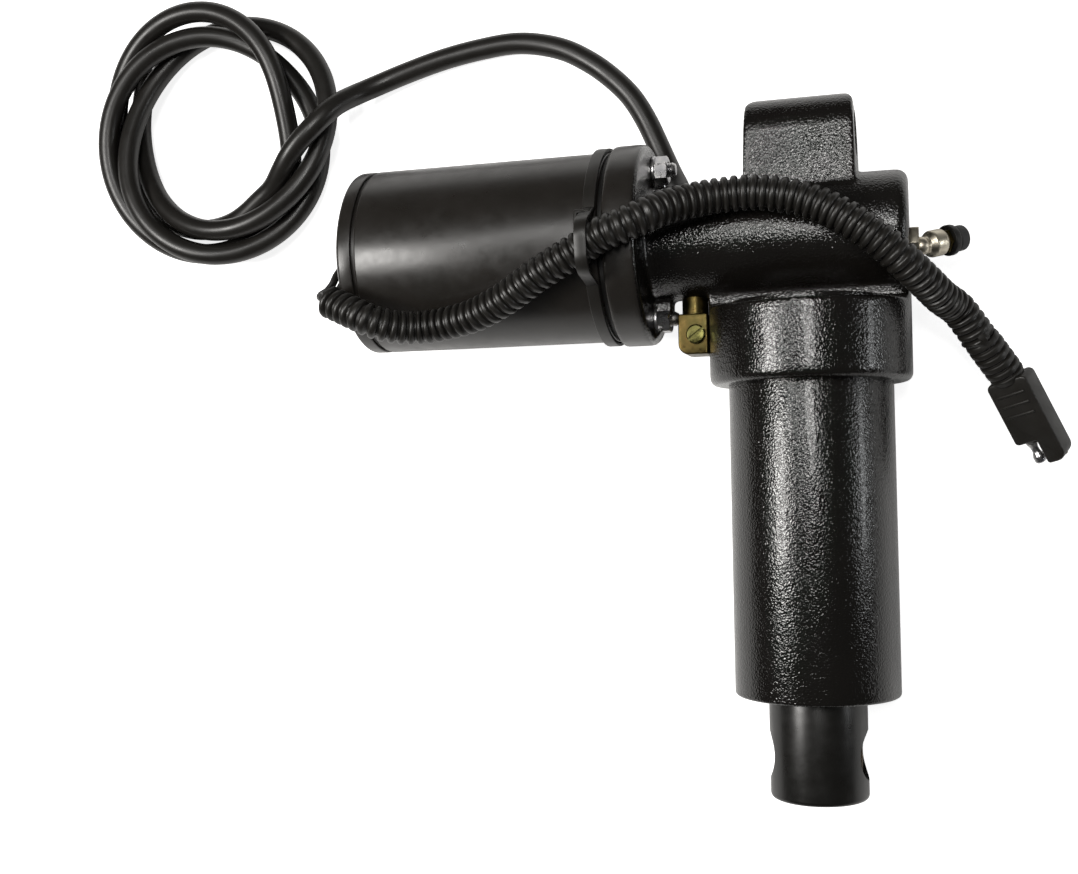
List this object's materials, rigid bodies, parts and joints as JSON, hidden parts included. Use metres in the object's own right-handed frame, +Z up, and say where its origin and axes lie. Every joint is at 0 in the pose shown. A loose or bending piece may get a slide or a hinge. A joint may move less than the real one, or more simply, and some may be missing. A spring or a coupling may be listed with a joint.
{
  "type": "outboard bracket tilt actuator",
  "caption": "Hydraulic tilt actuator for an outboard motor bracket: electric motor and gear pump set square to a short ram with an eye at each end, power cable and plug.",
  "frame": {"origin": "on the upper eye's axis, in the plane that holds the axes of the ram and the motor", "axes": "+X along the upper eye's axis, away from the motor; the ram pushes toward -Y; +Z up when the unit lies on its side as pictured"},
  "size_m": [0.4274, 0.3469, 0.0934],
  "materials": {
    "cast_black": "gloss black hammered paint",
    "black_paint": "gloss black paint",
    "satin_black": "satin black",
    "steel": "ground",
    "dark_steel": "dark",
    "zinc_plate": "bright zinc plate",
    "light_alloy": "machined",
    "yellow_metal": "yellow plated",
    "bronze": "plain bearing bronze",
    "copper": "copper",
    "carbon": "carbon",
    "black_rubber": "matte",
    "cable_jacket": "semi gloss",
    "hose_plastic": "satin",
    "plug_plastic": "matte",
    "pale_plastic": "matte",
    "holder_plastic": "matte"
  },
  "bodies": {
    "housing": {"pump_housing": "cast_black", "upper_eye_bush": "bronze", "barrel": "black_paint", "barrel_seal": "black_rubber", "rod_gland": "dark_steel", "gland_seal": "black_rubber", "rod_seal": "black_rubber", "wiper_seal": "black_rubber", "retaining_ring": "steel", "motor_yoke": "satin_black", "rear_cap": "satin_black", "field_magnets": "dark_steel", "brush_holder": "holder_plastic", "brushes": "carbon", "brush_springs": "steel", "rear_bearing": "zinc_plate", "front_bearing": "zinc_plate", "bearing_plate": "light_alloy", "shaft_seal": "black_rubber", "motor_gasket": "black_rubber", "through_bolts": "zinc_plate", "flange_washers": "zinc_plate", "flange_nuts": "zinc_plate", "wire_grommet": "black_rubber", "idler_pin": "steel", "pump_body": "light_alloy", "pump_cover": "light_alloy", "valve_block": "light_alloy", "valve_cartridges": "yellow_metal", "pump_screws": "zinc_plate", "release_valve": "yellow_metal", "fill_fitting": "zinc_plate", "fill_seat": "yellow_metal", "cable_gland": "black_rubber", "cable_tie": "hose_plastic", "power_cable": "cable_jacket", "power_cable_coil": "cable_jacket", "cable_cores": "copper", "conduit": "hose_plastic", "motor_wires": "cable_jacket", "plug_body": "plug_plastic", "plug_pin": "zinc_plate", "plug_socket": "yellow_metal"},
    "ram": {"piston": "steel", "piston_seal": "black_rubber", "guide_ring": "pale_plastic", "piston_nut": "zinc_plate", "ram_rod": "steel", "rod_end": "black_paint", "rod_eye_bush": "bronze"},
    "rotor": {"armature_core": "dark_steel", "windings": "copper", "commutator": "copper", "motor_shaft": "steel", "drive_coupling": "dark_steel", "drive_gear": "steel"},
    "idler": {"idler_gear": "steel"},
    "release_screw": {"release_screw": "zinc_plate"},
    "fill_cap": {"fill_cap": "black_rubber"}
  },
  "joints": [
    {"name": "ram_slide", "type": "slide", "parent": "housing", "child": "ram", "axis": [0, -1, 0], "range_m": [0, 0.1]},
    {"name": "rotor_spin", "type": "hinge", "parent": "housing", "child": "rotor", "pos_m": [0, -0.0385, 0], "axis": [1, 0, 0], "continuous": true},
    {"name": "idler_spin", "type": "hinge", "parent": "housing", "child": "idler", "pos_m": [0, -0.0485, 0], "axis": [1, 0, 0], "continuous": true},
    {"name": "release_turn", "type": "hinge", "parent": "housing", "child": "release_screw", "pos_m": [-0.0431, -0.0757, 0], "axis": [0, 0, 1], "range_deg": [0, 270]},
    {"name": "cap_pull", "type": "slide", "parent": "housing", "child": "fill_cap", "axis": [0.7575, 0.2172, -0.6157], "range_m": [0, 0.012]}
  ],
  "couplings": [
    {"joint": "idler_spin", "follows": "rotor_spin", "ratio": -1}
  ]
}
